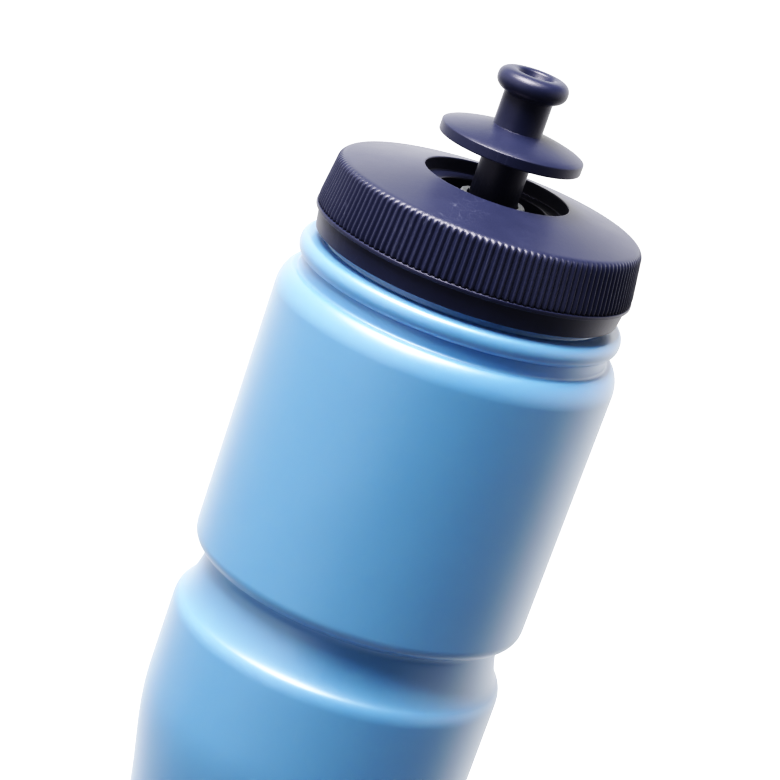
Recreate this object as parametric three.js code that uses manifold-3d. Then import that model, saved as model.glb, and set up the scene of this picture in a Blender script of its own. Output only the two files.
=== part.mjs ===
// Sports squeeze bottle with a ribbed screw cap and a push-pull drinking spout.
// Millimetres, +Z up. The origin is the middle of the base, on the surface the bottle stands on.
import * as THREE from 'three';
import { mergeVertices } from 'three/addons/utils/BufferGeometryUtils.js';
import Module from 'manifold-3d';

const wasm = await Module();
wasm.setup();

// ---- driving dimensions ----
const gap = 0.3; // running and seating clearance between two pieces

// bottle body, blow-moulded in soft polyethylene
const bodyR = 41; // top of the upper chamber, which narrows a little downwards
const lowerR = 40.5;
const bodyWall = 1.2;
const baseHeight = 19; // straight band under the grip
const gripTop = 98;
const gripDepth = 5;
const grooveR = 36;
const grooveLow = 130.4;
const grooveHigh = 132.4;
const flareR = 38; // half way up the lower chamber's shoulder
const flareZ = 123.6;
const lowerShoulder = 117.2;
const upperEdge = 136.6;
const shoulderLow = 197.2;
const shoulderHigh = 203;
const cornerR = 7;
const footInnerR = 29;
const footOuterR = 34;
const baseRise = 3;

// threaded neck
const neckRootR = 37.1; // short collar under the transfer bead
const beadR = 38.9;
const beadLow = 207.8;
const beadHigh = 211.8;
const neckR = 33.3;
const neckBoreR = 31.3;
const lipZ = 226.4;

// thread, single start and right-handed
const threadLead = 6;
const threadDepth = 1.4;
const threadRootWidth = 2.4;
const threadCrestWidth = 1.2;
const threadTurns = 1.25;
const threadStartZ = 215.6;
const capThreadTop = 0.5; // turn at which the cap's ridge ends
const flankGap = 0.45;

// screw cap
const skirtR = 37;
const skirtBoreR = 35.1;
const skirtLow = 213.2;
const stepR = 37.2;
const stepLow = 218.2;
const ribCount = 148;
const ribDepth = 0.7;
const ribLow = 219;
const ribLowR = 38;
const ribHigh = 230.7;
const ribHighR = 36.85;
const rimR = 17.2; // edge of the round well in the cap's top
const rimZ = 234.6;
const ledgeZ = 231.3;
const ledgeR = 12.9;
const recessZ = 226.5;
const capWall = 1.7;
const ceilingZ = 229;

// guide tube for the spout, moulded into the cap
const guideR = 8.2;
const guideTopR = 7.9;
const guideTopZ = 229.5;
const guideLow = 210.3;
const stopZ = 224;
const guideBoreR = 6.1;
const snapBoreR = 6.9;
const sealSeatR = 7;
const sealSeatZ = 225.7;

// seal ring round the stem
const sealLipR = 7.7;
const sealTopZ = 231.4;

// gasket under the cap's ceiling
const gasketInnerR = 31.2;
const gasketThick = 2;

// spout, drawn in its raised position
const stemR = 5.75;
const stemLow = 222;
const snapR = 6.5;
const snapHeight = 1.7;
const discR = 16.85;
const discLow = 243;
const discEdge = 245.5;
const neckBase = 248.5;
const beadNeckZ = 255.9;
const mouthR = 8.35;
const mouthWideZ = 259.2;
const mouthTop = 262.1;
const holeR = 4;
const sealingLipR = 3.2;
const spoutBoreR = 3.9;

// valve post, clipped to the lower end of the guide tube
const postClipR = 9.9;
const postLow = 208.2;
const postPlate = 1.8;
const postClipHigh = 214;
const pinShaftR = 1.8;
const pinHeadR = 2.9;
const pinHeadLow = 245.2;
const pinTop = 249.9;
const windowCount = 3;
const windowInnerR = 2.8;
const windowOuterR = 6.4;
const windowAngle = THREE.MathUtils.degToRad(86);

// facets round each turned piece
const bodyFacets = 48;
const capFacets = 48;
const smallFacets = 32;

// ---- helpers ----

// A merged index with the zero-area triangles on a lathe's axis left out.
function closedIndex(geometry) {
  const source = geometry.index.array;
  const kept = [];
  for (let i = 0; i < source.length; i += 3) {
    const [a, b, c] = [source[i], source[i + 1], source[i + 2]];
    if (a !== b && b !== c && c !== a) kept.push(a, b, c);
  }
  return Uint32Array.from(kept);
}

function toSolid(geometry) {
  geometry.deleteAttribute('normal');
  geometry.deleteAttribute('uv');
  const merged = mergeVertices(geometry, 1e-4);
  const vertProperties = Float32Array.from(merged.attributes.position.array);
  const mesh = new wasm.Mesh({ numProp: 3, vertProperties, triVerts: closedIndex(merged) });
  return new wasm.Manifold(mesh);
}

function toGeometry(solid) {
  const mesh = solid.getMesh();
  const geometry = new THREE.BufferGeometry();
  geometry.setAttribute('position', new THREE.BufferAttribute(mesh.vertProperties, 3));
  geometry.setIndex(new THREE.BufferAttribute(mesh.triVerts, 1));
  return geometry;
}

// Turns an (r, z) outline, drawn anticlockwise, about the Z axis.
function turned(points, facets) {
  return new THREE.LatheGeometry(points, facets).rotateX(Math.PI / 2);
}

// Points of a path that closes on itself, each curve in it split into the same number of steps.
function closedOutline(path, steps) {
  const points = path.getPoints(steps);
  points.push(points[0].clone());
  return points;
}

// A thread ridge: a straight trapezoid bar wrapped into a helix, faded out at both ends.
// outward is 1 on a neck and -1 in a cap, and helixZ is the helix's height at turn 0.
function threadRidge(rootR, outward, helixZ, startTurn) {
  const stepsPerTurn = 36;
  const fade = 0.07;
  const buried = 0.8; // the root lies inside the wall
  const sunk = 0.4; // and so do the faded ends
  const half = [threadRootWidth / 2, threadCrestWidth / 2];
  const bar = new THREE.Shape();
  bar.moveTo(-buried, -half[0]);
  bar.lineTo(threadDepth, -half[1]);
  bar.lineTo(threadDepth, half[1]);
  bar.lineTo(-buried, half[0]);
  bar.closePath();
  const steps = Math.round(threadTurns * stepsPerTurn);
  const geometry = new THREE.ExtrudeGeometry(bar, { depth: 1, steps, bevelEnabled: false });
  const position = geometry.attributes.position;
  for (let i = 0; i < position.count; i += 1) {
    const along = position.getZ(i);
    const ramp = Math.min(1, Math.min(along, 1 - along) / fade);
    const height = position.getX(i);
    const raised = height > 0 ? THREE.MathUtils.lerp(-sunk, height, ramp) : height;
    const radius = rootR + outward * raised;
    const turn = startTurn + outward * along * threadTurns;
    const angle = turn * 2 * Math.PI;
    const z = helixZ + turn * threadLead - position.getY(i);
    position.setXYZ(i, radius * Math.cos(angle), radius * Math.sin(angle), z);
  }
  return geometry;
}

// ---- bottle body ----

function gripR(z, maxR) {
  const turn = (z - baseHeight) / (gripTop - baseHeight) * 2 * Math.PI;
  return maxR - gripDepth * (1 - Math.cos(turn)) / 2;
}

// Points of the hand grip, a soft waist in the lower chamber.
function gripPoints(inset, steps) {
  const points = [];
  for (let i = 0; i <= steps; i += 1) {
    const z = THREE.MathUtils.lerp(baseHeight, gripTop, i / steps);
    points.push(new THREE.Vector2(gripR(z, lowerR - inset), z));
  }
  return points;
}

function outerWall() {
  const path = new THREE.Path();
  path.moveTo(0, baseRise);
  path.lineTo(footInnerR - 6, baseRise - 0.8);
  path.lineTo(footInnerR, 0);
  path.lineTo(footOuterR, 0);
  path.quadraticCurveTo(lowerR, 0, lowerR, cornerR);
  gripPoints(0, 8).forEach((point) => path.lineTo(point.x, point.y));
  path.lineTo(lowerR, lowerShoulder);
  path.quadraticCurveTo(lowerR, flareZ - 3.2, flareR, flareZ);
  path.quadraticCurveTo(grooveR, flareZ + 3, grooveR, grooveLow);
  path.quadraticCurveTo(grooveR, grooveHigh, grooveR + 1, grooveHigh + 0.4);
  path.bezierCurveTo(lowerR - 1, grooveHigh + 0.8, lowerR, grooveHigh + 2, lowerR, upperEdge);
  path.lineTo(bodyR, shoulderLow);
  path.bezierCurveTo(bodyR, shoulderLow + 3, bodyR - 1.6, shoulderHigh, neckRootR, shoulderHigh);
  path.lineTo(neckRootR, beadLow);
  path.lineTo(beadR - 0.9, beadLow);
  path.bezierCurveTo(beadR + 0.3, beadLow + 0.8, beadR + 0.3, beadHigh - 0.8, beadR - 0.9, beadHigh);
  path.lineTo(neckR, beadHigh);
  path.lineTo(neckR, lipZ);
  return path.getPoints(3);
}

function innerWall() {
  const r = lowerR - bodyWall;
  const topR = bodyR - bodyWall;
  const waist = grooveR - bodyWall;
  const path = new THREE.Path();
  path.moveTo(neckBoreR, lipZ);
  path.lineTo(neckBoreR, shoulderHigh - 1.4);
  path.bezierCurveTo(topR - 4, shoulderHigh - 1.8, topR, shoulderLow + 2, topR, shoulderLow);
  path.lineTo(r, upperEdge + 0.6);
  path.lineTo(waist, grooveHigh + 0.6);
  path.lineTo(waist, grooveLow - 1);
  path.lineTo(flareR - bodyWall - 0.2, flareZ - 0.4);
  path.lineTo(r, lowerShoulder - 0.4);
  gripPoints(bodyWall, 6).reverse().forEach((point) => path.lineTo(point.x, point.y));
  path.quadraticCurveTo(r, bodyWall, footOuterR, bodyWall);
  path.lineTo(footInnerR, bodyWall);
  path.lineTo(footInnerR - 6, baseRise - 0.8 + bodyWall);
  path.lineTo(0, baseRise + bodyWall);
  return path.getPoints(2);
}

function bottleBody() {
  const shell = toSolid(turned([...outerWall(), ...innerWall()], bodyFacets));
  const thread = toSolid(threadRidge(neckR, 1, threadStartZ, 0));
  return toGeometry(shell.add(thread));
}

// ---- screw cap ----

function coneZ(r) {
  const slope = (rimZ - ribHigh) / (ribHighR - rimR);
  return rimZ - slope * (r - rimR);
}

function capCore() {
  const coreR = ribHighR - ribDepth - 0.1; // smooth wall behind the ribs
  const plugR = 30.6;
  const path = new THREE.Path();
  path.moveTo(skirtBoreR, skirtLow);
  path.lineTo(skirtR, skirtLow);
  path.lineTo(skirtR, stepLow);
  path.lineTo(stepR, stepLow + 0.2);
  path.lineTo(stepR, ribLow + 0.4);
  path.lineTo(coreR, ribLow + 0.4);
  path.lineTo(coreR, coneZ(coreR));
  path.lineTo(rimR + 0.3, coneZ(rimR + 0.3));
  path.lineTo(rimR, rimZ - 0.3);
  path.lineTo(rimR, ledgeZ);
  path.lineTo(ledgeR, ledgeZ);
  path.lineTo(ledgeR, recessZ);
  path.lineTo(guideTopR, recessZ);
  path.lineTo(guideTopR, guideTopZ);
  path.lineTo(sealSeatR, guideTopZ);
  path.lineTo(sealSeatR, sealSeatZ);
  path.lineTo(guideBoreR, sealSeatZ);
  path.lineTo(guideBoreR, stopZ);
  path.lineTo(snapBoreR, stopZ);
  path.lineTo(snapBoreR, guideLow);
  path.lineTo(guideR, guideLow);
  path.lineTo(guideR, recessZ - capWall);
  path.lineTo(ledgeR + capWall, recessZ - capWall);
  path.lineTo(ledgeR + capWall, ledgeZ - capWall);
  path.lineTo(rimR + capWall, ledgeZ - capWall);
  path.lineTo(rimR + capWall, coneZ(rimR + capWall) - capWall);
  path.lineTo(plugR - 1.2, coneZ(plugR - 1.2) - capWall);
  path.lineTo(plugR, ceilingZ);
  path.lineTo(skirtBoreR, ceilingZ);
  return turned(closedOutline(path, 1), capFacets);
}

// A ring whose outer face is pressed into vertical ribs, two facets to a rib.
function ribBand() {
  const innerR = ribHighR - ribDepth - 0.9;
  const path = new THREE.Path();
  path.moveTo(innerR, ribLow);
  path.lineTo(ribLowR, ribLow);
  path.lineTo(ribHighR, ribHigh - 0.5);
  path.lineTo(innerR, ribHigh - 0.2);
  const facets = ribCount * 2;
  const geometry = turned(closedOutline(path, 1), facets);
  const position = geometry.attributes.position;
  for (let i = 0; i < position.count; i += 1) {
    const x = position.getX(i);
    const y = position.getY(i);
    const r = Math.hypot(x, y);
    const facet = Math.round(Math.atan2(y, x) / (2 * Math.PI) * facets);
    const valley = r > innerR + 0.1 && facet % 2 !== 0;
    const scale = valley ? (r - ribDepth) / r : 1;
    position.setX(i, x * scale);
    position.setY(i, y * scale);
  }
  return geometry;
}

function screwCap() {
  const drop = (threadRootWidth + threadCrestWidth) / 2 + flankGap;
  const thread = threadRidge(skirtBoreR, -1, threadStartZ + threadLead - drop, capThreadTop);
  const solid = toSolid(capCore()).add(toSolid(ribBand())).add(toSolid(thread));
  return toGeometry(solid);
}

// ---- seals ----

function capGasket() {
  const outerR = skirtBoreR - gap;
  const high = ceilingZ - gap;
  const low = high - gasketThick;
  const path = new THREE.Path();
  path.moveTo(gasketInnerR, low);
  path.lineTo(outerR, low);
  path.lineTo(outerR, high);
  path.lineTo(gasketInnerR, high);
  return toGeometry(toSolid(turned(closedOutline(path, 1), bodyFacets)));
}

function stemSeal() {
  const boreR = stemR + gap;
  const sleeveR = sealSeatR - gap;
  const ease = 0.4;
  const path = new THREE.Path();
  path.moveTo(boreR, sealSeatZ + gap);
  path.lineTo(sleeveR, sealSeatZ + gap);
  path.lineTo(sleeveR, guideTopZ + gap);
  path.lineTo(sealLipR, guideTopZ + gap);
  path.lineTo(sealLipR, sealTopZ - ease);
  path.lineTo(sealLipR - ease, sealTopZ);
  path.lineTo(boreR + ease, sealTopZ);
  path.lineTo(boreR, sealTopZ - ease);
  return toGeometry(toSolid(turned(closedOutline(path, 1), smallFacets)));
}

// ---- spout ----

function spout() {
  const steps = 4;
  const edge = 0.4;
  const lipLow = mouthTop - 4.8;
  const path = new THREE.Path();
  path.moveTo(spoutBoreR, stemLow);
  path.lineTo(snapR - edge, stemLow);
  path.lineTo(snapR, stemLow + edge);
  path.lineTo(snapR, stemLow + snapHeight);
  path.lineTo(stemR, stemLow + snapHeight);
  path.lineTo(stemR, discLow);
  path.lineTo(discR - edge, discLow);
  path.lineTo(discR, discLow + edge);
  path.lineTo(discR, discEdge - edge);
  path.lineTo(discR - edge, discEdge);
  path.lineTo(stemR + 1, neckBase);
  path.lineTo(stemR, neckBase + 1);
  path.lineTo(stemR, beadNeckZ);
  path.bezierCurveTo(mouthR - 1, beadNeckZ + 0.7, mouthR, mouthWideZ - 1.6, mouthR, mouthWideZ);
  path.bezierCurveTo(mouthR, mouthWideZ + 2, mouthR - 1.6, mouthTop, holeR + 1.4, mouthTop);
  path.quadraticCurveTo(holeR + 0.2, mouthTop, holeR, mouthTop - 0.8);
  path.lineTo(sealingLipR, mouthTop - 2);
  path.lineTo(sealingLipR, lipLow);
  path.lineTo(spoutBoreR, lipLow - 1.4);
  return toGeometry(toSolid(turned(closedOutline(path, steps), smallFacets)));
}

// ---- valve post ----

function windowCut(turn) {
  const half = windowAngle / 2;
  const shape = new THREE.Shape();
  shape.absarc(0, 0, windowOuterR, turn - half, turn + half, false);
  shape.absarc(0, 0, windowInnerR, turn + half, turn - half, true);
  shape.closePath();
  const depth = postPlate * 3;
  const geometry = new THREE.ExtrudeGeometry(shape, { depth, curveSegments: 3, bevelEnabled: false });
  return geometry.translate(0, 0, postLow - postPlate);
}

function valvePost() {
  const plateTop = postLow + postPlate;
  const clipBoreR = guideR + gap;
  const ease = 0.5;
  const path = new THREE.Path();
  path.moveTo(0, postLow);
  path.lineTo(postClipR - ease, postLow);
  path.lineTo(postClipR, postLow + ease);
  path.lineTo(postClipR, postClipHigh);
  path.lineTo(clipBoreR, postClipHigh);
  path.lineTo(clipBoreR, plateTop);
  path.lineTo(windowInnerR, plateTop);
  path.lineTo(pinShaftR, plateTop + 2);
  path.lineTo(pinShaftR, pinHeadLow - 1);
  path.lineTo(pinHeadR, pinHeadLow);
  path.lineTo(pinHeadR, pinTop - ease);
  path.lineTo(pinHeadR - ease, pinTop);
  path.lineTo(0, pinTop);
  let solid = toSolid(turned(path.getPoints(1), smallFacets));
  for (let i = 0; i < windowCount; i += 1) {
    solid = solid.subtract(toSolid(windowCut(i * 2 * Math.PI / windowCount)));
  }
  return toGeometry(solid);
}

// ---- assembly ----

const softBlue = { color: 0x6ba6da, roughness: 0.38, metalness: 0 };
const navy = { color: 0x1d2348, roughness: 0.55, metalness: 0 };
const paleSilicone = { color: 0xc9cdd2, roughness: 0.5, metalness: 0 };

function piece(name, geometry, finish) {
  const mesh = new THREE.Mesh(geometry, new THREE.MeshStandardMaterial(finish));
  mesh.name = name;
  return mesh;
}

const bottle = new THREE.Group();
bottle.add(piece('bottle_body', bottleBody(), softBlue));
bottle.add(piece('cap_gasket', capGasket(), paleSilicone));
bottle.add(piece('screw_cap', screwCap(), navy));
bottle.add(piece('valve_post', valvePost(), navy));
bottle.add(piece('stem_seal', stemSeal(), paleSilicone));
bottle.add(piece('spout', spout(), navy));

export default bottle;
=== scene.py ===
import bpy
import bmesh
import math
from mathutils import Euler, Matrix, Vector


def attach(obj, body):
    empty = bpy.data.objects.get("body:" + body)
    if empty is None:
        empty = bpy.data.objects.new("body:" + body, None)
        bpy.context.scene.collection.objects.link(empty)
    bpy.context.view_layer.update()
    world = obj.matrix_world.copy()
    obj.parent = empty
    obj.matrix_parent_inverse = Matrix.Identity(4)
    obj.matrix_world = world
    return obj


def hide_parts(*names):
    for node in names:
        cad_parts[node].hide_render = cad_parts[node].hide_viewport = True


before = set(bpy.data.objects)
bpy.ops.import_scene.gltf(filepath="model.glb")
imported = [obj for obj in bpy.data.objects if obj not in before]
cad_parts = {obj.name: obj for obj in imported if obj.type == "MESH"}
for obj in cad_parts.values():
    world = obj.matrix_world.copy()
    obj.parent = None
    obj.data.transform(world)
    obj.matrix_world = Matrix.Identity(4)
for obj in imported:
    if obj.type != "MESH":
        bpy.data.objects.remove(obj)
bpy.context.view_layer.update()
print("frame loaded:", ", ".join(sorted(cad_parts)))

mm = 0.001          # the dictionaries below are in millimetres
fullTurn = 2 * math.pi
gap = 0.3           # clearance between two pieces
onAxis = 1e-6       # a smaller radius is a single point on the axis
sharpTurn = math.radians(18)        # outline corners that turn by more than this are rounded
cornerReach = 0.46                  # share of a straight stretch that one rounded corner may use up


# outlines are lists of (radius, height) that are turned about the Z axis
def bendTo(path, *points, steps=12):
    # a Bezier curve from the end of the path, through its control points, to the last point
    control = [Vector(path[-1])] + [Vector(point) for point in points]
    for i in range(1, steps + 1):
        level = control
        while len(level) > 1:
            level = [a.lerp(b, i / steps) for a, b in zip(level, level[1:])]
        path.append(level[0])


def softened(path, radius, closed=False, steps=4):
    points = [Vector(point) for point in path]
    last = len(points) - 1
    result = []
    for i, here in enumerate(points):
        if not closed and i in (0, last):
            result.append(here)
            continue
        back = points[i - 1] - here
        ahead = points[(i + 1) % len(points)] - here
        bend = math.pi - back.angle(ahead)
        if bend < sharpTurn:
            result.append(here)
            continue
        reach = min(radius * math.tan(bend / 2), back.length * cornerReach, ahead.length * cornerReach)
        start = here + back.normalized() * reach
        end = here + ahead.normalized() * reach
        for k in range(steps + 1):
            t = k / steps
            result.append(start * (1 - t) ** 2 + here * 2 * t * (1 - t) + end * t * t)
    return result


def evenly(path, longest):
    # splits long straight stretches, so that quads stay short enough to shade and bake well
    result = [path[0]]
    for a, b in zip(path, path[1:]):
        parts = max(1, math.ceil((b - a).length / longest))
        for k in range(1, parts + 1):
            result.append(a.lerp(b, k / parts))
    return result


def turnedPoint(bm, radius, angle, height):
    return bm.verts.new((radius * mm * math.cos(angle), radius * mm * math.sin(angle), height * mm))


def ringOf(bm, radius, height, columns):
    if radius < onAxis:
        return [bm.verts.new((0, 0, height * mm))]
    return [turnedPoint(bm, radius, fullTurn * i / columns, height) for i in range(columns)]


def joinRings(bm, first, second):
    # quads between equal rings, a fan at the axis, and wider faces where one ring is finer
    if len(first) < len(second):
        first, second = second, first
    many = len(first)
    few = len(second)
    if few == 1:
        for i in range(many):
            bm.faces.new((first[i], first[(i + 1) % many], second[0]))
        return
    share = many // few
    for j in range(few):
        fine = [first[(j * share + k) % many] for k in range(share + 1)]
        bm.faces.new(fine + [second[(j + 1) % few], second[j]])


def turnOutline(bm, path, columns, closed=False):
    rings = [ringOf(bm, point[0], point[1], columns) for point in path]
    for a, b in zip(rings, rings[1:]):
        joinRings(bm, a, b)
    if closed:
        joinRings(bm, rings[-1], rings[0])
    return rings


def skinLoops(bm, loops):
    # a tube of quads along equal loops, with a face over each end
    last = len(loops[0]) - 1
    for a, b in zip(loops, loops[1:]):
        for k in range(last):
            bm.faces.new((a[k], a[k + 1], b[k + 1], b[k]))
        bm.faces.new((a[last], a[0], b[0], b[last]))
    bm.faces.new(loops[0])
    bm.faces.new(list(reversed(loops[-1])))


# the screw thread that neck and cap share
thread = {
    "lead": 6, "depth": 1.4, "rootWidth": 2.4, "turns": 1.25, "startZ": 215.6, "capTop": 0.5,
    "capDrop": 2.25, "fade": 0.07, "sunk": 0.4, "stepsPerTurn": 120, "across": 10,
    "fullness": 3.2, "flank": 0.75,     # how flat the ridge's top is, and how steep its sides
    "endWidth": 0.35,                   # share of the width that is left where it fades out
}


# a rounded ridge that fades into the wall at both ends; outward is 1 on a neck and -1 in a cap
def addThread(bm, rootR, outward, helixZ, startTurn):
    across = thread["across"]
    steps = round(thread["turns"] * thread["stepsPerTurn"])
    loops = []
    for i in range(steps + 1):
        along = i / steps
        ramp = min(1, min(along, 1 - along) / thread["fade"])
        ease = math.sin(ramp * math.pi / 2)
        width = thread["rootWidth"] / 2 * (thread["endWidth"] + (1 - thread["endWidth"]) * ease)
        turn = startTurn + outward * along * thread["turns"]
        loop = []
        for k in range(across + 1):
            side = 2 * k / across - 1
            swell = (1 - abs(side) ** thread["fullness"]) ** thread["flank"]
            height = -thread["sunk"] + (thread["depth"] + thread["sunk"]) * swell * ease
            z = helixZ + turn * thread["lead"] + side * width
            loop.append(turnedPoint(bm, rootR + outward * height, turn * fullTurn, z))
        loops.append(loop)
    skinLoops(bm, loops)


def finishPiece(bm, name, body, node, material):
    bmesh.ops.recalc_face_normals(bm, faces=bm.faces)
    mesh = bpy.data.meshes.new(name)
    bm.to_mesh(mesh)
    bm.free()
    mesh.shade_smooth()
    piece = bpy.data.objects.new(name, mesh)
    bpy.context.scene.collection.objects.link(piece)
    mesh.materials.append(material)
    weighted = piece.modifiers.new("weighted_normals", "WEIGHTED_NORMAL")
    weighted.keep_sharp = True
    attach(piece, body)
    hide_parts(node)
    print("made", name, len(mesh.polygons), "faces")
    return piece


# helpers for node trees; links maps an input's name or number to a socket or a plain value
def addNode(tree, kind, links=None, **settings):
    node = tree.nodes.new(kind)
    for key, value in settings.items():
        setattr(node, key, value)
    for key, value in (links or {}).items():
        if isinstance(value, bpy.types.NodeSocket):
            tree.links.new(value, node.inputs[key])
        else:
            node.inputs[key].default_value = value
    return node


def maths(tree, operation, a, b=0.0):
    return addNode(tree, "ShaderNodeMath", {0: a, 1: b}, operation=operation).outputs[0]


def remap(tree, value, low, high, toLow=0.0, toHigh=1.0):
    return addNode(tree, "ShaderNodeMapRange", {0: value, 1: low, 2: high, 3: toLow, 4: toHigh}).outputs[0]


def blendValues(tree, share, a, b):
    return addNode(tree, "ShaderNodeMix", {0: share, 2: a, 3: b}).outputs[0]


def blendColours(tree, share, a, b):
    return addNode(tree, "ShaderNodeMix", {0: share, 6: a, 7: b}, data_type="RGBA").outputs[2]


def noiseOf(tree, where, scale, detail=2.0, roughness=0.5):
    links = {"Vector": where, "Scale": scale, "Detail": detail, "Roughness": roughness}
    return addNode(tree, "ShaderNodeTexNoise", links).outputs[0]


def stretched(tree, where, scale, rotation=(0, 0, 0)):
    links = {"Vector": where, "Rotation": rotation, "Scale": scale}
    return addNode(tree, "ShaderNodeMapping", links).outputs[0]


# shader node groups, shared by the materials
def newGroup(name, inputs, outputs):
    group = bpy.data.node_groups.new(name, "ShaderNodeTree")
    for socketName, kind, value in inputs:
        socket = group.interface.new_socket(name=socketName, in_out="INPUT", socket_type=kind)
        socket.default_value = value
    for socketName, kind in outputs:
        group.interface.new_socket(name=socketName, in_out="OUTPUT", socket_type=kind)
    start = group.nodes.new("NodeGroupInput")
    end = group.nodes.new("NodeGroupOutput")
    return group, start, end


# fine moulded grain: a spark-eroded mould leaves small pits of two sizes
grainPits = {"fineDetail": 3.0, "fineRoughness": 0.6, "coarseScale": 0.3}


def makeGrainGroup():
    inputs = [("Where", "NodeSocketVector", (0, 0, 0)), ("Grain size", "NodeSocketFloat", 2200.0),
              ("Coarse share", "NodeSocketFloat", 0.4)]
    group, start, end = newGroup("moulded_grain", inputs, [("Height", "NodeSocketFloat")])
    where = start.outputs["Where"]
    size = start.outputs["Grain size"]
    fine = noiseOf(group, where, size, grainPits["fineDetail"], grainPits["fineRoughness"])
    coarse = noiseOf(group, where, maths(group, "MULTIPLY", size, grainPits["coarseScale"]))
    mixed = blendValues(group, start.outputs["Coarse share"], fine, coarse)
    group.links.new(mixed, end.inputs["Height"])
    return group


# light handling marks: short hairlines that lie every way, thinned out by a broad noise
scuffLines = {
    "ways": [((0.4, 0.9, 0.3), 0.05), ((1.3, 0.2, 1.1), 0.07), ((0.9, 1.5, 2.1), 0.04)],    # tilt, squeeze
    "detail": 1.0, "thin": 0.006, "patchScale": 0.35, "patchLow": 0.5, "patchHigh": 0.68,
}


def makeScuffGroup():
    inputs = [("Where", "NodeSocketVector", (0, 0, 0)), ("Amount", "NodeSocketFloat", 0.3),
              ("Line size", "NodeSocketFloat", 160.0)]
    outputs = [("Mask", "NodeSocketFloat"), ("Height", "NodeSocketFloat")]
    group, start, end = newGroup("handling_scuffs", inputs, outputs)
    where = start.outputs["Where"]
    size = start.outputs["Line size"]
    total = None
    for tilt, squeeze in scuffLines["ways"]:
        turned = stretched(group, where, (1.0, 1.0, squeeze), tilt)
        field = noiseOf(group, turned, size, scuffLines["detail"])
        middle = maths(group, "ABSOLUTE", maths(group, "SUBTRACT", field, 0.5))
        line = remap(group, middle, 0.0, scuffLines["thin"], 1.0, 0.0)
        total = line if total is None else maths(group, "MAXIMUM", total, line)
    broad = noiseOf(group, where, maths(group, "MULTIPLY", size, scuffLines["patchScale"]))
    patches = remap(group, broad, scuffLines["patchLow"], scuffLines["patchHigh"])
    mask = maths(group, "MULTIPLY", maths(group, "MULTIPLY", total, patches), start.outputs["Amount"])
    group.links.new(mask, end.inputs["Mask"])
    group.links.new(maths(group, "MULTIPLY", mask, -1.0), end.inputs["Height"])
    return group


# slow changes of tone, as plastic cools unevenly and its pigment streams
pigment = {"drawnOut": 0.25, "streakScale": 5.0, "streakDetail": 3.0, "streakShare": 0.35,
           "low": 0.3, "high": 0.7}


def makeToneGroup():
    inputs = [("Where", "NodeSocketVector", (0, 0, 0)), ("Deep", "NodeSocketColor", (0, 0, 0, 1)),
              ("Light", "NodeSocketColor", (1, 1, 1, 1)), ("Patch size", "NodeSocketFloat", 18.0)]
    outputs = [("Color", "NodeSocketColor"), ("Value", "NodeSocketFloat")]
    group, start, end = newGroup("pigment_tone", inputs, outputs)
    where = start.outputs["Where"]
    size = start.outputs["Patch size"]
    broad = noiseOf(group, where, size)
    drawn = stretched(group, where, (1.0, 1.0, pigment["drawnOut"]))
    streakSize = maths(group, "MULTIPLY", size, pigment["streakScale"])
    streaks = noiseOf(group, drawn, streakSize, pigment["streakDetail"])
    value = blendValues(group, pigment["streakShare"], broad, streaks)
    value = remap(group, value, pigment["low"], pigment["high"])
    mixed = blendColours(group, value, start.outputs["Deep"], start.outputs["Light"])
    group.links.new(mixed, end.inputs["Color"])
    group.links.new(value, end.inputs["Value"])
    return group


# polished or rubbed edges, from how sharply the surface bends, broken up by a fine noise
rubbing = {"size": 700.0, "detail": 3.0, "low": 0.35, "high": 0.6}


def makeEdgeGroup():
    inputs = [("Where", "NodeSocketVector", (0, 0, 0)), ("Start", "NodeSocketFloat", 0.53),
              ("Full", "NodeSocketFloat", 0.62)]
    group, start, end = newGroup("rubbed_edges", inputs, [("Mask", "NodeSocketFloat")])
    bend = group.nodes.new("ShaderNodeNewGeometry").outputs["Pointiness"]
    sharp = remap(group, bend, start.outputs["Start"], start.outputs["Full"])
    field = noiseOf(group, start.outputs["Where"], rubbing["size"], rubbing["detail"])
    broken = remap(group, field, rubbing["low"], rubbing["high"])
    group.links.new(maths(group, "MULTIPLY", sharp, broken), end.inputs["Mask"])
    return group


mouldedGrain = makeGrainGroup()
handlingScuffs = makeScuffGroup()
pigmentTone = makeToneGroup()
rubbedEdges = makeEdgeGroup()
print("shader groups ready")


# what all the plastics have in common; waveDetail is for the unevenness of a blown wall
plastic = {"ior": 1.5, "sheenRough": 0.4, "scuffRough": 0.18, "waveDetail": 1.0}


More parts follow.
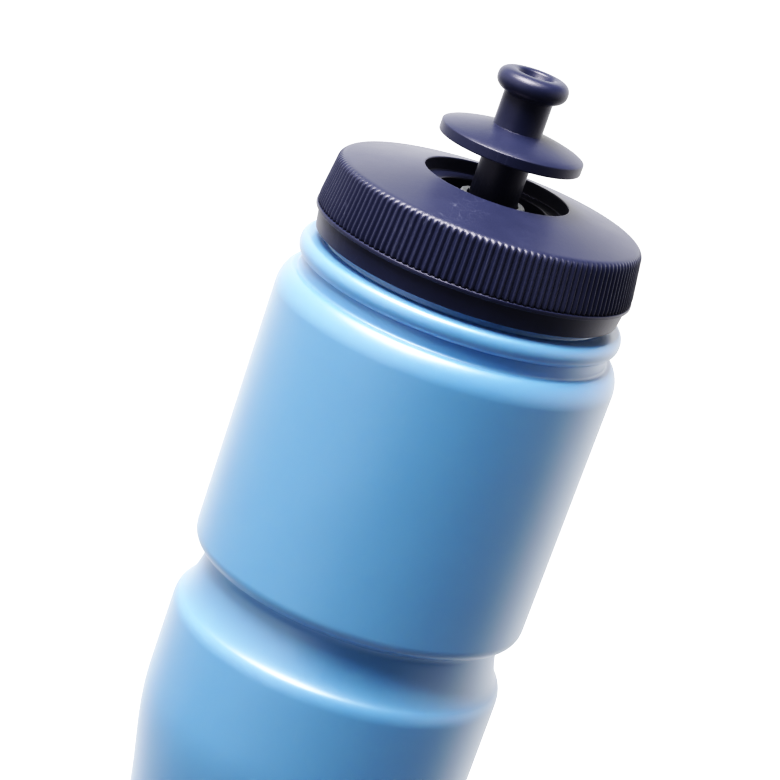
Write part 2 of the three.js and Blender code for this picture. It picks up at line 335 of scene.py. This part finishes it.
# a moulded plastic: tone, grain, scuffs and rubbed edges around one Principled shader
def mouldedPlastic(look):
    material = bpy.data.materials.new(look["name"])
    material.use_nodes = True
    tree = material.node_tree
    tree.nodes.clear()
    output = tree.nodes.new("ShaderNodeOutputMaterial")
    shader = tree.nodes.new("ShaderNodeBsdfPrincipled")
    tree.links.new(shader.outputs[0], output.inputs["Surface"])
    where = tree.nodes.new("ShaderNodeTexCoord").outputs["Object"]

    toneInputs = {"Where": where, "Deep": look["deep"], "Light": look["light"],
                  "Patch size": look["patchSize"]}
    scuffInputs = {"Where": where, "Amount": look["scuffs"], "Line size": look["scuffSize"]}
    edgeInputs = {"Where": where, "Start": look["edgeStart"], "Full": look["edgeFull"]}
    grainInputs = {"Where": where, "Grain size": look["grainSize"], "Coarse share": look["coarseShare"]}
    tone = addNode(tree, "ShaderNodeGroup", toneInputs, node_tree=pigmentTone)
    scuffs = addNode(tree, "ShaderNodeGroup", scuffInputs, node_tree=handlingScuffs)
    edges = addNode(tree, "ShaderNodeGroup", edgeInputs, node_tree=rubbedEdges)
    grain = addNode(tree, "ShaderNodeGroup", grainInputs, node_tree=mouldedGrain)

    rubbed = maths(tree, "MULTIPLY", edges.outputs["Mask"], look["edgeWear"])
    marks = maths(tree, "MAXIMUM", scuffs.outputs["Mask"], rubbed)
    colour = blendColours(tree, marks, tone.outputs["Color"], look["worn"])
    tree.links.new(colour, shader.inputs["Base Color"])

    rough = remap(tree, tone.outputs["Value"], 0.0, 1.0, look["roughLow"], look["roughHigh"])
    scuffed = maths(tree, "MULTIPLY", scuffs.outputs["Mask"], plastic["scuffRough"])
    tree.links.new(maths(tree, "ADD", rough, scuffed), shader.inputs["Roughness"])

    pits = maths(tree, "MULTIPLY", grain.outputs["Height"], look["grainHeight"])
    scratches = maths(tree, "MULTIPLY", scuffs.outputs["Height"], look["scuffDepth"])
    height = maths(tree, "ADD", pits, scratches)
    if "wallWave" in look:
        wave = noiseOf(tree, where, look["wallWaveSize"], plastic["waveDetail"])
        height = maths(tree, "ADD", height, maths(tree, "MULTIPLY", wave, look["wallWave"]))
    bump = addNode(tree, "ShaderNodeBump", {"Height": height, "Distance": mm, "Strength": 1.0})
    tree.links.new(bump.outputs[0], shader.inputs["Normal"])

    shader.inputs["Specular IOR Level"].default_value = look["specular"]
    shader.inputs["Specular Tint"].default_value = look["specularTint"]
    shader.inputs["IOR"].default_value = plastic["ior"]
    shader.inputs["Subsurface Weight"].default_value = look["scatter"]
    shader.inputs["Subsurface Radius"].default_value = look["scatterRadius"]
    shader.inputs["Subsurface Scale"].default_value = mm
    shader.inputs["Sheen Weight"].default_value = look["sheen"]
    shader.inputs["Sheen Roughness"].default_value = plastic["sheenRough"]
    shader.inputs["Sheen Tint"].default_value = look["sheenTint"]
    shader.inputs["Coat Weight"].default_value = look["coat"]
    shader.inputs["Coat Roughness"].default_value = look["coatRough"]
    return material


softBluePlastic = mouldedPlastic({
    "name": "soft_blue_plastic",
    "deep": (0.108, 0.290, 0.590, 1), "light": (0.118, 0.305, 0.615, 1), "worn": (0.36, 0.55, 0.80, 1),
    "patchSize": 16.0, "roughLow": 0.36, "roughHigh": 0.41,
    "scuffs": 0.05, "scuffSize": 420.0, "scuffDepth": 0.004,
    "edgeStart": 0.56, "edgeFull": 0.70, "edgeWear": 0.15,
    "grainSize": 2600.0, "coarseShare": 0.35, "grainHeight": 0.012,
    "wallWave": 0.12, "wallWaveSize": 55.0,
    "specular": 1.0, "specularTint": (1, 1, 1, 1), "scatter": 0.35, "scatterRadius": (1.4, 2.2, 3.2),
    "sheen": 0.10, "sheenTint": (1, 1, 1, 1), "coat": 1.0, "coatRough": 0.37,
})

navyPlastic = mouldedPlastic({
    "name": "navy_plastic",
    "deep": (0.0105, 0.0130, 0.034, 1), "light": (0.0130, 0.0160, 0.041, 1), "worn": (0.08, 0.085, 0.13, 1),
    "patchSize": 40.0, "roughLow": 0.36, "roughHigh": 0.42,
    "scuffs": 0.35, "scuffSize": 220.0, "scuffDepth": 0.012,
    "edgeStart": 0.54, "edgeFull": 0.66, "edgeWear": 0.25,
    "grainSize": 2300.0, "coarseShare": 0.45, "grainHeight": 0.03,
    "specular": 0.5, "specularTint": (1.0, 0.93, 1.0, 1), "scatter": 0.0, "scatterRadius": (1.0, 1.0, 1.0),
    "sheen": 0.06, "sheenTint": (0.80, 0.78, 1.0, 1), "coat": 0.0, "coatRough": 0.3,
})

paleSilicone = mouldedPlastic({
    "name": "pale_silicone",
    "deep": (0.46, 0.48, 0.51, 1), "light": (0.54, 0.56, 0.59, 1), "worn": (0.62, 0.63, 0.65, 1),
    "patchSize": 60.0, "roughLow": 0.38, "roughHigh": 0.48,
    "scuffs": 0.1, "scuffSize": 300.0, "scuffDepth": 0.004,
    "edgeStart": 0.56, "edgeFull": 0.70, "edgeWear": 0.1,
    "grainSize": 3000.0, "coarseShare": 0.3, "grainHeight": 0.008,
    "specular": 0.5, "specularTint": (1, 1, 1, 1), "scatter": 0.5, "scatterRadius": (1.2, 1.1, 1.0),
    "sheen": 0.0, "sheenTint": (1, 1, 1, 1), "coat": 0.0, "coatRough": 0.3,
})
print("materials ready")


# bottle body: soft blow-moulded wall with a grip waist, a groove and a threaded neck
body = {
    "topR": 41, "lowerR": 40.5, "wall": 1.2, "columns": 256, "corner": 0.5, "longestEdge": 4.0,
    # dished base, foot and the round heel above it
    "baseRise": 3, "dishFlat": 0.6, "dishBendIn": 4, "dishBendDown": 0.8, "dishBendUp": 0.4,
    "footInnerR": 29, "footOuterR": 34, "heelIn": 1, "heelUp": 1.5, "cornerR": 7,
    # waist for the hand
    "baseHeight": 19, "gripTop": 98, "gripDepth": 5, "gripRings": 48,
    # the lower chamber's shoulder and its flare down into the groove
    "lowerShoulder": 116.2, "shoulderBendZ": 118.8, "flareR": 39.3, "flareZ": 119.9, "flareBendR": 37.2,
    "flareBendZ": 122.1, "grooveR": 36, "grooveLow": 130.4, "grooveHigh": 132.4, "grooveFillet": (1, 0.4),
    "upperBendIn": 1, "upperBendLow": 0.8, "upperBendHigh": 2, "upperEdge": 136.6,
    # upper shoulder, bead and neck
    "shoulderLow": 197.2, "shoulderHigh": 203, "shoulderPull": 3, "shoulderIn": 1.6, "neckFillet": 0.8,
    "neckRootR": 37.1, "beadBendR": 39.2, "beadLow": 206.6, "beadHigh": 211.1, "neckR": 33.3,
    "neckBoreR": 31.3, "lipZ": 226.4,
}

# heights and radii of the inner wall, where it doesn't simply follow the outer one
lining = {
    "neckLow": 201.6, "shoulderBend": (35.8, 201.2), "shoulderPull": 199.2, "upperEdge": 137.2,
    "grooveBend": 133.8, "grooveHigh": 131.4, "grooveLow": 129.4, "flareZ": 120.5, "lowerShoulder": 114.2,
}


def gripPath(inset, steps):
    path = []
    for i in range(steps + 1):
        z = body["baseHeight"] + (body["gripTop"] - body["baseHeight"]) * i / steps
        waist = body["gripDepth"] * (1 - math.cos(fullTurn * i / steps)) / 2
        path.append(Vector((body["lowerR"] - inset - waist, z)))
    return path


def outerWall():
    b = body
    filletOut, filletUp = b["grooveFillet"]
    path = [Vector((0, b["baseRise"]))]
    bendTo(path, (b["footInnerR"] * b["dishFlat"], b["baseRise"]),
           (b["footInnerR"] - b["dishBendIn"], b["baseRise"] - b["dishBendDown"]),
           (b["footInnerR"], 0), steps=24)
    path.append(Vector((b["footOuterR"], 0)))
    bendTo(path, (b["lowerR"] - b["heelIn"], 0), (b["lowerR"], b["heelUp"]),
           (b["lowerR"], b["cornerR"]), steps=16)
    path += gripPath(0, b["gripRings"])
    path.append(Vector((b["lowerR"], b["lowerShoulder"])))
    bendTo(path, (b["lowerR"], b["shoulderBendZ"]), (b["flareR"], b["flareZ"]))
    bendTo(path, (b["flareBendR"], b["flareBendZ"]), (b["grooveR"], b["grooveLow"]), steps=20)
    bendTo(path, (b["grooveR"], b["grooveHigh"]),
           (b["grooveR"] + filletOut, b["grooveHigh"] + filletUp), steps=8)
    bendTo(path, (b["lowerR"] - b["upperBendIn"], b["grooveHigh"] + b["upperBendLow"]),
           (b["lowerR"], b["grooveHigh"] + b["upperBendHigh"]), (b["lowerR"], b["upperEdge"]), steps=16)
    path.append(Vector((b["topR"], b["shoulderLow"])))
    bendTo(path, (b["topR"], b["shoulderLow"] + b["shoulderPull"]),
           (b["topR"] - b["shoulderIn"], b["shoulderHigh"]),
           (b["neckRootR"] + b["neckFillet"], b["shoulderHigh"]), steps=20)
    bendTo(path, (b["neckRootR"], b["shoulderHigh"]),
           (b["neckRootR"], b["shoulderHigh"] + b["neckFillet"]), steps=6)
    path.append(Vector((b["neckRootR"], b["beadLow"])))
    bendTo(path, (b["beadBendR"], b["beadLow"]), (b["beadBendR"], b["beadHigh"]),
           (b["neckRootR"], b["beadHigh"]), steps=24)
    path.append(Vector((b["neckR"], b["beadHigh"])))
    path.append(Vector((b["neckR"], b["lipZ"])))
    return path


def innerWall():
    b = body
    n = lining
    r = b["lowerR"] - b["wall"]
    top = b["topR"] - b["wall"]
    waist = b["grooveR"] - b["wall"]
    path = [Vector((b["neckBoreR"], b["lipZ"]))]
    path.append(Vector((b["neckBoreR"], n["neckLow"])))
    bendTo(path, n["shoulderBend"], (top, n["shoulderPull"]), (top, b["shoulderLow"]))
    path.append(Vector((r, n["upperEdge"])))
    bendTo(path, (r, n["grooveBend"]), (waist, n["grooveBend"]), (waist, n["grooveHigh"]))
    path.append(Vector((waist, n["grooveLow"])))
    bendTo(path, (waist, b["flareBendZ"]), (r, n["flareZ"]), (r, n["lowerShoulder"]))
    path += list(reversed(gripPath(b["wall"], b["gripRings"] // 2)))
    bendTo(path, (r, b["wall"]), (b["footOuterR"], b["wall"]))
    path.append(Vector((b["footInnerR"], b["wall"])))
    bendTo(path, (b["footInnerR"] - b["dishBendIn"], b["baseRise"] + b["dishBendUp"]),
           (0, b["baseRise"] + b["wall"]))
    return path


# the low ridge left where the mould pinched the tube of plastic shut, tapering out at both ends
seam = {"half": 21, "wide": 1.1, "proud": 0.35, "sunk": 0.5, "taper": 4, "steps": 60, "across": 8,
        "fullness": 4, "endWidth": 0.4}


def addPinchSeam(bm):
    loops = []
    for i in range(seam["steps"] + 1):
        x = seam["half"] * (2 * i / seam["steps"] - 1)
        ease = min(1, (seam["half"] - abs(x)) / seam["taper"])
        halfWidth = seam["wide"] / 2 * (seam["endWidth"] + (1 - seam["endWidth"]) * ease)
        loop = []
        for k in range(seam["across"] + 1):
            side = 2 * k / seam["across"] - 1
            swell = (1 - side ** seam["fullness"]) * math.sqrt(ease)
            drop = -seam["sunk"] + (seam["proud"] + seam["sunk"]) * swell
            loop.append(bm.verts.new((x * mm, halfWidth * side * mm, (body["baseRise"] - drop) * mm)))
        loops.append(loop)
    skinLoops(bm, loops)


def makeBody():
    bm = bmesh.new()
    path = softened(outerWall() + innerWall(), body["corner"])
    turnOutline(bm, evenly(path, body["longestEdge"]), body["columns"])
    addThread(bm, body["neckR"], 1, thread["startZ"], 0)
    addPinchSeam(bm)
    return finishPiece(bm, "bottle_shell", "bottle", "bottle_body", softBluePlastic)


# screw cap: ribbed grip, lip, plain skirt, coned top with a round well, guide tube
cap = {
    "skirtR": 37, "skirtFootR": 36.3, "skirtBoreR": 35.1, "skirtLow": 213.2, "skirtHigh": 217.9,
    "stepR": 37.2, "stepLow": 218.0, "lipR": 37.85, "lipLow": 218.15, "lipTop": 219.0,
    "ribR": 37.68, "ribHighR": 36.5, "ribHigh": 230.7, "ribCount": 148, "ribDepth": 0.72,
    "ribColumns": 10, "plainColumns": 296, "ribFullness": 1.2, "ribInset": 0.25,
    "ribFoot": (0.12, 0.5, 1.5), "ribRows": 4,      # rows of faces: at the foot, above the lip, and then up
    "ribRound": 1.75, "valleyRound": 0.9, "edgeIn": 0.02, "edgeDown": 0.1, "edgeSteps": 7,
    "rimR": 17.2, "rimZ": 234.6, "ledgeZ": 231.3, "ledgeR": 12.9, "recessZ": 226.5, "coneBand": 0.5,
    "wall": 1.7, "ceilingZ": 229, "plugR": 30.6, "plugBend": 1.2,
    "guideR": 8.2, "guideTopR": 7.9, "guideTopZ": 229.5, "guideLow": 210.3, "stopZ": 224,
    "guideBoreR": 6.1, "snapBoreR": 6.9, "sealSeatR": 7, "sealSeatZ": 225.7,
    "corner": 0.35, "lipCorner": 0.18, "longestEdge": 3.0,
}


def coneZ(r):
    slope = (cap["rimZ"] - cap["ribHigh"]) / (cap["ribHighR"] - cap["rimR"])
    return cap["rimZ"] - slope * (r - cap["rimR"])


# the outside of the cap at one angle, from the lip up to the cone: valley is 0 on a rib, 1 between two
def ribColumn(valley):
    low = cap["ribR"] - cap["ribDepth"] * valley
    high = cap["ribHighR"] - cap["ribDepth"] * valley
    rounding = cap["ribRound"] + (cap["valleyRound"] - cap["ribRound"]) * valley
    top = coneZ(high)
    path = [Vector((low, cap["lipTop"] + z)) for z in cap["ribFoot"]]
    start = path[-1]
    end = Vector((high, top - rounding))
    for k in range(1, cap["ribRows"] + 1):
        path.append(start.lerp(end, k / cap["ribRows"]))
    inner = high - rounding
    bendTo(path, (high - cap["edgeIn"], top - cap["edgeDown"]), (inner, coneZ(inner)), steps=cap["edgeSteps"])
    return path


def makeRibs(bm):
    perRib = cap["ribColumns"]
    fine = cap["ribCount"] * perRib
    columns = []
    for k in range(perRib):
        wave = 0.5 - 0.5 * math.cos(fullTurn * k / perRib)
        columns.append(ribColumn(wave ** cap["ribFullness"]))
    rings = []
    for row in zip(*columns):
        rings.append([turnedPoint(bm, row[i % perRib][0], fullTurn * i / fine, row[i % perRib][1])
                      for i in range(fine)])
    for a, b in zip(rings, rings[1:]):
        joinRings(bm, a, b)
    return rings


def makeCap():
    c = cap
    bm = bmesh.new()
    ribs = makeRibs(bm)
    # from the top edge inwards: cone, well, guide tube, underside and skirt, back out to the lip
    coneStart = c["ribHighR"] - c["ribRound"] - c["coneBand"]
    underZ = c["recessZ"] - c["wall"]
    shelfZ = c["ledgeZ"] - c["wall"]
    shelfR = c["rimR"] + c["wall"]
    plugStart = c["plugR"] - c["plugBend"]
    cone = [(coneStart, coneZ(coneStart)), (c["rimR"], c["rimZ"])]
    well = [(c["rimR"], c["ledgeZ"]), (c["ledgeR"], c["ledgeZ"]), (c["ledgeR"], c["recessZ"]),
            (c["guideTopR"], c["recessZ"]), (c["guideTopR"], c["guideTopZ"]),
            (c["sealSeatR"], c["guideTopZ"]), (c["sealSeatR"], c["sealSeatZ"]),
            (c["guideBoreR"], c["sealSeatZ"]), (c["guideBoreR"], c["stopZ"]),
            (c["snapBoreR"], c["stopZ"]), (c["snapBoreR"], c["guideLow"])]
    under = [(c["guideR"], c["guideLow"]), (c["guideR"], underZ), (c["ledgeR"] + c["wall"], underZ),
             (c["ledgeR"] + c["wall"], shelfZ), (shelfR, shelfZ), (shelfR, coneZ(shelfR) - c["wall"]),
             (plugStart, coneZ(plugStart) - c["wall"]), (c["plugR"], c["ceilingZ"]),
             (c["skirtBoreR"], c["ceilingZ"]), (c["skirtBoreR"], c["skirtLow"])]
    outside = [(c["skirtFootR"], c["skirtLow"]), (c["skirtR"], c["skirtHigh"]), (c["stepR"], c["stepLow"]),
               (c["lipR"], c["lipLow"]), (c["lipR"], c["lipTop"]),
               (c["ribR"] - c["ribDepth"] - c["ribInset"], c["lipTop"])]
    path = softened(cone + well + under, c["corner"])
    path = softened(path + outside, c["lipCorner"])
    plain = turnOutline(bm, evenly(path, c["longestEdge"]), c["plainColumns"])
    joinRings(bm, ribs[-1], plain[0])
    joinRings(bm, ribs[0], plain[-1])
    helixZ = thread["startZ"] + thread["lead"] - thread["capDrop"]
    addThread(bm, c["skirtBoreR"], -1, helixZ, thread["capTop"])
    return finishPiece(bm, "ribbed_cap", "cap", "screw_cap", navyPlastic)


# push-pull spout: hollow stem with a snap ring, a disc that closes the well, and a beaded mouth
spout = {
    "stemR": 5.75, "stemLow": 222, "snapR": 6.5, "snapHeight": 1.7, "snapTipIn": 0.3, "snapTipHeight": 0.6,
    "discR": 16.85, "discLow": 243, "discEdge": 245.5, "discRim": 0.9, "discRise": 0.45,
    "coneBendR": 12.5, "coneBendZ": 247.2, "neckBase": 248.4, "crease": 0.06,    # crisp line at the neck
    "beadNeckZ": 256.1, "mouthR": 8.35, "mouthWideZ": 259.1, "mouthTop": 261.6,
    "beadLowBend": (7.35, 256.8), "beadLowPull": 257.5, "beadTopPull": 261.1, "beadTopBendR": 6.75,
    "beadTopR": 5.4, "throatBendR": 4.2, "holeR": 4, "throatZ": 260.8,
    "lipR": 3.2, "lipHigh": 259.6, "lipLow": 256.8, "boreR": 3.9, "boreHigh": 255.4,
    "columns": 192, "corner": 0.35, "longestEdge": 2.0,
}


def makeSpout():
    s = spout
    bm = bmesh.new()
    snapTop = s["stemLow"] + s["snapHeight"]
    path = [Vector((s["boreR"], s["stemLow"])), Vector((s["snapR"] - s["snapTipIn"], s["stemLow"]))]
    path.append(Vector((s["snapR"], s["stemLow"] + s["snapTipHeight"])))
    path.append(Vector((s["snapR"], snapTop)))
    path.append(Vector((s["stemR"], snapTop)))
    path.append(Vector((s["stemR"], s["discLow"])))
    path.append(Vector((s["discR"], s["discLow"])))
    path.append(Vector((s["discR"], s["discEdge"])))
    path.append(Vector((s["discR"] - s["discRim"], s["discEdge"] + s["discRise"])))
    bendTo(path, (s["coneBendR"], s["coneBendZ"]), (s["stemR"] + s["crease"], s["neckBase"]), steps=10)
    path.append(Vector((s["stemR"], s["neckBase"] + s["crease"])))
    path.append(Vector((s["stemR"], s["beadNeckZ"])))
    bendTo(path, s["beadLowBend"], (s["mouthR"], s["beadLowPull"]),
           (s["mouthR"], s["mouthWideZ"]), steps=14)
    bendTo(path, (s["mouthR"], s["beadTopPull"]), (s["beadTopBendR"], s["mouthTop"]),
           (s["beadTopR"], s["mouthTop"]), steps=14)
    bendTo(path, (s["throatBendR"], s["mouthTop"]), (s["holeR"], s["throatZ"]), steps=8)
    path.append(Vector((s["lipR"], s["lipHigh"])))
    path.append(Vector((s["lipR"], s["lipLow"])))
    path.append(Vector((s["boreR"], s["boreHigh"])))
    path = evenly(softened(path, s["corner"], closed=True), s["longestEdge"])
    turnOutline(bm, path, s["columns"], closed=True)
    return finishPiece(bm, "push_pull_spout", "spout", "spout", navyPlastic)


# seals: a flat ring under the cap's ceiling, and a wiper ring round the spout's stem
seals = {"gasketInnerR": 31.2, "gasketThick": 2, "gasketCorner": 0.35, "wiperR": 7.7, "wiperTop": 231.4,
         "wiperCorner": 0.4, "columns": 160}


def makeGasket():
    bm = bmesh.new()
    outer = cap["skirtBoreR"] - gap
    high = cap["ceilingZ"] - gap
    low = high - seals["gasketThick"]
    path = [(seals["gasketInnerR"], low), (outer, low), (outer, high), (seals["gasketInnerR"], high)]
    turnOutline(bm, softened(path, seals["gasketCorner"], closed=True), seals["columns"], closed=True)
    return finishPiece(bm, "ceiling_gasket", "gasket", "cap_gasket", paleSilicone)


def makeStemSeal():
    bm = bmesh.new()
    bore = spout["stemR"] + gap
    sleeve = cap["sealSeatR"] - gap
    low = cap["sealSeatZ"] + gap
    step = cap["guideTopZ"] + gap
    path = [(bore, low), (sleeve, low), (sleeve, step), (seals["wiperR"], step),
            (seals["wiperR"], seals["wiperTop"]), (bore, seals["wiperTop"])]
    turnOutline(bm, softened(path, seals["wiperCorner"], closed=True), seals["columns"], closed=True)
    return finishPiece(bm, "stem_wiper_ring", "cap", "stem_seal", paleSilicone)


# valve post: a spider plate clipped under the guide tube, with the pin that stops the spout
post = {
    "clipR": 9.9, "low": 208.2, "plate": 1.8, "clipHigh": 214, "pinR": 1.8, "headR": 2.9,
    "headLow": 245.2, "top": 249.9, "hubTaper": 2, "headTaper": 1, "windows": 3, "windowInnerR": 2.8,
    "windowOuterR": 6.4, "windowAngle": 86, "rimCorner": 0.3, "pinCorner": 0.5, "columns": 180,
}


def makePost():
    p = post
    bm = bmesh.new()
    plateTop = p["low"] + p["plate"]
    clipBore = cap["guideR"] + gap
    # the clip wall and the rim of the plate
    rim = [(p["windowOuterR"], p["low"]), (p["clipR"], p["low"]), (p["clipR"], p["clipHigh"]),
           (clipBore, p["clipHigh"]), (clipBore, plateTop), (p["windowOuterR"], plateTop)]
    rimRings = turnOutline(bm, softened(rim, p["rimCorner"]), p["columns"])
    # the hub and the pin
    pin = [(p["windowInnerR"], plateTop), (p["pinR"], plateTop + p["hubTaper"]),
           (p["pinR"], p["headLow"] - p["headTaper"]), (p["headR"], p["headLow"]), (p["headR"], p["top"]),
           (0, p["top"])]
    pinRings = turnOutline(bm, softened(pin, p["pinCorner"]), p["columns"])
    hub = turnOutline(bm, [(0, p["low"]), (p["windowInnerR"], p["low"])], p["columns"])
    # arms between hub and rim, so the gaps between them are the windows
    span = p["columns"] // p["windows"]
    window = round(p["columns"] * p["windowAngle"] / 360)
    top = (pinRings[0], rimRings[-1])
    low = (hub[1], rimRings[0])
    for i in range(p["columns"]):
        j = (i + 1) % p["columns"]
        place = (i + window // 2) % span
        if place >= window:
            bm.faces.new((top[0][i], top[1][i], top[1][j], top[0][j]))
            bm.faces.new((low[0][i], low[1][i], low[1][j], low[0][j]))
        else:
            for ring in (0, 1):
                bm.faces.new((top[ring][i], top[ring][j], low[ring][j], low[ring][i]))
            if place == 0:
                bm.faces.new((top[0][i], top[1][i], low[1][i], low[0][i]))
            if place == window - 1:
                bm.faces.new((top[0][j], top[1][j], low[1][j], low[0][j]))
    return finishPiece(bm, "valve_spider", "cap", "valve_post", navyPlastic)


makeBody()
makeCap()
makeGasket()
makeStemSeal()
makeSpout()
makePost()


# room: pale floor, white walls, one softbox and the camera; places on the walls are ray directions
room = {
    "floorSize": 12, "floorCells": 24, "floorColour": (0.34, 0.345, 0.35, 1), "floorShade": 0.96,
    "floorPatch": 2.0, "floorRough": 0.7, "floorGlow": 1.75, "seenWhite": 2.2,
    "roomLight": 0.08, "backLight": 2.4,           # the white backdrop glows in a band behind the bottle
    "backStart": 0.0, "backFull": 0.70,            # how far round to the back, as the ray's Y
    "bandFull": 0.30, "bandEnd": 0.65,             # how high the band reaches, as the ray's Z
    "fadeStart": -0.12, "fadeFull": 0.15, "backRight": 0.78,    # the band is dimmer on the right
    "edgeStart": -0.25, "edgeFull": -0.80, "backLeft": 0.40,    # and at its far left end
    "bandLow": -0.45, "bandBase": -0.05, "bandBelow": 0.75,     # and below the level of the ray's start
    "leftLight": 1.45, "leftStart": -0.10, "leftFull": -0.55,   # a pale wall on the left, as the ray's X
    "leftBack": 0.15, "turnStart": 0.0, "turnFull": 0.6,        # and what is left of it towards the back
    "rightLight": 0.9, "rightStart": 0.72, "rightFull": 1.0,    # a smaller one on the right
    "wallLow": -0.35, "wallHigh": 0.0,             # the walls end above the floor, as the ray's Z
    "tableLight": 0.35, "tableStart": -0.40, "tableFull": -0.75,    # light that comes back up off the table
    "whiteLevel": 2.0,                             # brightness that the camera's tone curve ends at
    "allColours": 3,                               # the curve of the four that acts on all colours at once
}

lamps = [
    # name, place, size and power
    ("overhead_softbox", (-0.29, -0.25, 1.29), (0.80, 0.80), 70.0),
]
lampTarget = Vector((0, 0, 0.19))       # the middle of the bottle's upper half

# soft camera tone curve: scene brightness as a share of whiteLevel, and what it becomes
toneCurve = [(0.015, 0.010), (0.05, 0.06), (0.165, 0.30), (0.36, 0.60), (0.625, 0.85)]


def makeFloor():
    bm = bmesh.new()
    cells = room["floorCells"]
    bmesh.ops.create_grid(bm, x_segments=cells, y_segments=cells, size=room["floorSize"] / 2)
    mesh = bpy.data.meshes.new("floor")
    bm.to_mesh(mesh)
    bm.free()
    floor = bpy.data.objects.new("floor", mesh)
    bpy.context.scene.collection.objects.link(floor)
    floor.location.z = -gap * mm        # just below the foot, so that the two faces never share a plane
    material = bpy.data.materials.new("pale_floor")
    material.use_nodes = True
    tree = material.node_tree
    shader = tree.nodes["Principled BSDF"]
    shader.inputs["Roughness"].default_value = room["floorRough"]
    shader.inputs["Emission Color"].default_value = (1, 1, 1, 1)
    shader.inputs["Emission Strength"].default_value = room["floorGlow"]
    where = tree.nodes.new("ShaderNodeTexCoord").outputs["Object"]
    shade = tuple(room["floorShade"] * x for x in room["floorColour"][:3]) + (1,)
    mixed = blendColours(tree, noiseOf(tree, where, room["floorPatch"]), room["floorColour"], shade)
    tree.links.new(mixed, shader.inputs["Base Color"])
    mesh.materials.append(material)
    floor.visible_diffuse = False       # its bounce would flatten the shadows under the cap and the shoulder
    floor.visible_glossy = False


def makeWorld():
    r = room
    world = bpy.data.worlds.new("white_room")
    world.use_nodes = True
    tree = world.node_tree
    sky = tree.nodes["Background"]
    ray = tree.nodes.new("ShaderNodeTexCoord").outputs["Generated"]
    x, y, z = addNode(tree, "ShaderNodeSeparateXYZ", {0: ray}).outputs

    # the glowing band behind the bottle, and how it dims upwards, downwards and to both sides
    band = remap(tree, y, r["backStart"], r["backFull"], 0.0, r["backLight"])
    for dimmer in (remap(tree, z, r["bandFull"], r["bandEnd"], 1.0, 0.0),
                   remap(tree, z, r["bandLow"], r["bandBase"], r["bandBelow"], 1.0),
                   remap(tree, x, r["fadeStart"], r["fadeFull"], 1.0, r["backRight"]),
                   remap(tree, x, r["edgeStart"], r["edgeFull"], 1.0, r["backLeft"])):
        band = maths(tree, "MULTIPLY", band, dimmer)

    left = remap(tree, x, r["leftStart"], r["leftFull"], 0.0, r["leftLight"])
    towardBack = remap(tree, y, r["turnStart"], r["turnFull"], 1.0, r["leftBack"])
    right = remap(tree, x, r["rightStart"], r["rightFull"], 0.0, r["rightLight"])
    aboveFloor = remap(tree, z, r["wallLow"], r["wallHigh"])
    walls = maths(tree, "ADD", maths(tree, "MULTIPLY", left, towardBack), right)
    walls = maths(tree, "MULTIPLY", walls, aboveFloor)
    table = remap(tree, z, r["tableStart"], r["tableFull"], 0.0, r["tableLight"])
    lit = maths(tree, "ADD", maths(tree, "ADD", band, walls), maths(tree, "ADD", table, r["roomLight"]))

    seen = tree.nodes.new("ShaderNodeLightPath").outputs["Is Camera Ray"]
    tree.links.new(blendValues(tree, seen, lit, r["seenWhite"]), sky.inputs["Strength"])
    sky.inputs["Color"].default_value = (1, 1, 1, 1)
    bpy.context.scene.world = world


def setTone():
    view = bpy.context.scene.view_settings
    view.view_transform = "Standard"
    view.use_curve_mapping = True
    mapping = view.curve_mapping
    mapping.white_level = (room["whiteLevel"],) * 3
    for share, shown in toneCurve:
        mapping.curves[room["allColours"]].points.new(share, shown)
    mapping.update()


def makeLamps():
    for name, place, size, power in lamps:
        lamp = bpy.data.lights.new(name, "AREA")
        lamp.shape = "RECTANGLE"
        lamp.size, lamp.size_y = size
        lamp.energy = power
        holder = bpy.data.objects.new(name, lamp)
        holder.location = place
        holder.rotation_euler = (lampTarget - Vector(place)).to_track_quat("-Z", "Y").to_euler()
        bpy.context.scene.collection.objects.link(holder)


# the camera looks along Y, then down by pitch; roll tilts the picture, and so the bottle in it
lens = {"place": (-7.69, -665.7, 382.0), "pitch": 16.84, "roll": 19.27, "focal": 138.55, "sensor": 36,
        "nearest": 0.01, "farthest": 50}


def makeCamera():
    data = bpy.data.cameras.new("camera")
    data.lens = lens["focal"]
    data.sensor_width = lens["sensor"]
    data.clip_start = lens["nearest"]
    data.clip_end = lens["farthest"]
    camera = bpy.data.objects.new("camera", data)
    pitch = Euler((math.radians(90 - lens["pitch"]), 0, 0)).to_matrix().to_4x4()
    roll = Euler((0, 0, math.radians(lens["roll"]))).to_matrix().to_4x4()
    camera.matrix_world = Matrix.Translation(Vector(lens["place"]) * mm) @ pitch @ roll
    bpy.context.scene.collection.objects.link(camera)
    bpy.context.scene.camera = camera


makeFloor()
makeWorld()
setTone()
makeLamps()
makeCamera()
print("room, lights and camera ready")

bpy.context.view_layer.update()
